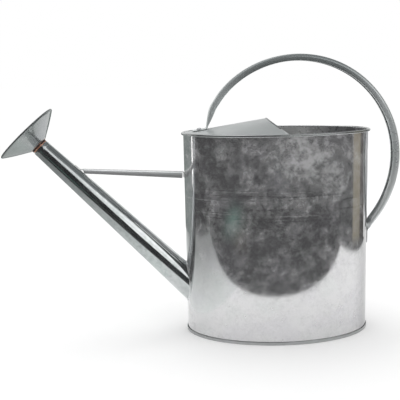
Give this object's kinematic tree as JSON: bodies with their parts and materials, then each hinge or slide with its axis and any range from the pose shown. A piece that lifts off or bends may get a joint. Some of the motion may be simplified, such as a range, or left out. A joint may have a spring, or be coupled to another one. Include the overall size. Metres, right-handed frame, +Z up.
{
  "type": "watering can",
  "caption": "Oval galvanised watering can with a half hood, a tall carrying hoop, and a long braced spout that ends in a removable, turnable sprinkler rose.",
  "frame": {"origin": "centre of the whole object's box in plan, on the ground under the base seam", "axes": "+X from the spout towards the handle, +Y across the can, away from the pictured side, +Z up"},
  "size_m": [0.5652, 0.1748, 0.395],
  "materials": {
    "galvanised_wall": "galvanised sheet, mirror-like lower down, clouded grey spangle and fine rolling marks",
    "galvanised_base": "galvanised sheet, dull, folded seam",
    "galvanised_hood": "galvanised sheet, pale and satin",
    "galvanised_spout": "galvanised sheet, bright, with a lengthwise lap seam",
    "galvanised_brace": "galvanised sheet, satin",
    "galvanised_hoop": "galvanised strip with rolled edges, satin grey",
    "galvanised_rose": "galvanised sheet, satin with soft clouding",
    "galvanised_rose_face": "galvanised sheet, punched with spray holes",
    "zinc_rivet": "zinc-plated rivet heads, dull",
    "steel_wire": "drawn steel wire, hidden in the rolled rim",
    "copper_alloy": "copper-coloured spun ferrule",
    "black_rubber": "matt black rubber ring"
  },
  "bodies": {
    "can": {"body_shell": "galvanised_wall", "rim_wire": "steel_wire", "base_plate": "galvanised_base", "hood": "galvanised_hood", "spout_tube": "galvanised_spout", "spout_brace": "galvanised_brace", "handle_hoop": "galvanised_hoop", "rear_rivet_upper": "zinc_rivet", "rear_rivet_lower": "zinc_rivet", "front_rivet_left": "zinc_rivet", "front_rivet_right": "zinc_rivet"},
    "seal_ring": {"rose_seal": "black_rubber"},
    "rose": {"rose_ferrule": "copper_alloy", "rose_cone": "galvanised_rose", "rose_face": "galvanised_rose_face"}
  },
  "joints": [
    {"name": "rose_pull", "type": "slide", "parent": "can", "child": "seal_ring", "axis": [-0.682, 0, 0.7314], "range_m": [0, 0.04]},
    {"name": "rose_twist", "type": "hinge", "parent": "seal_ring", "child": "rose", "pos_m": [-0.2278, 0, 0.27375], "axis": [-0.682, 0, 0.7314], "continuous": true}
  ]
}
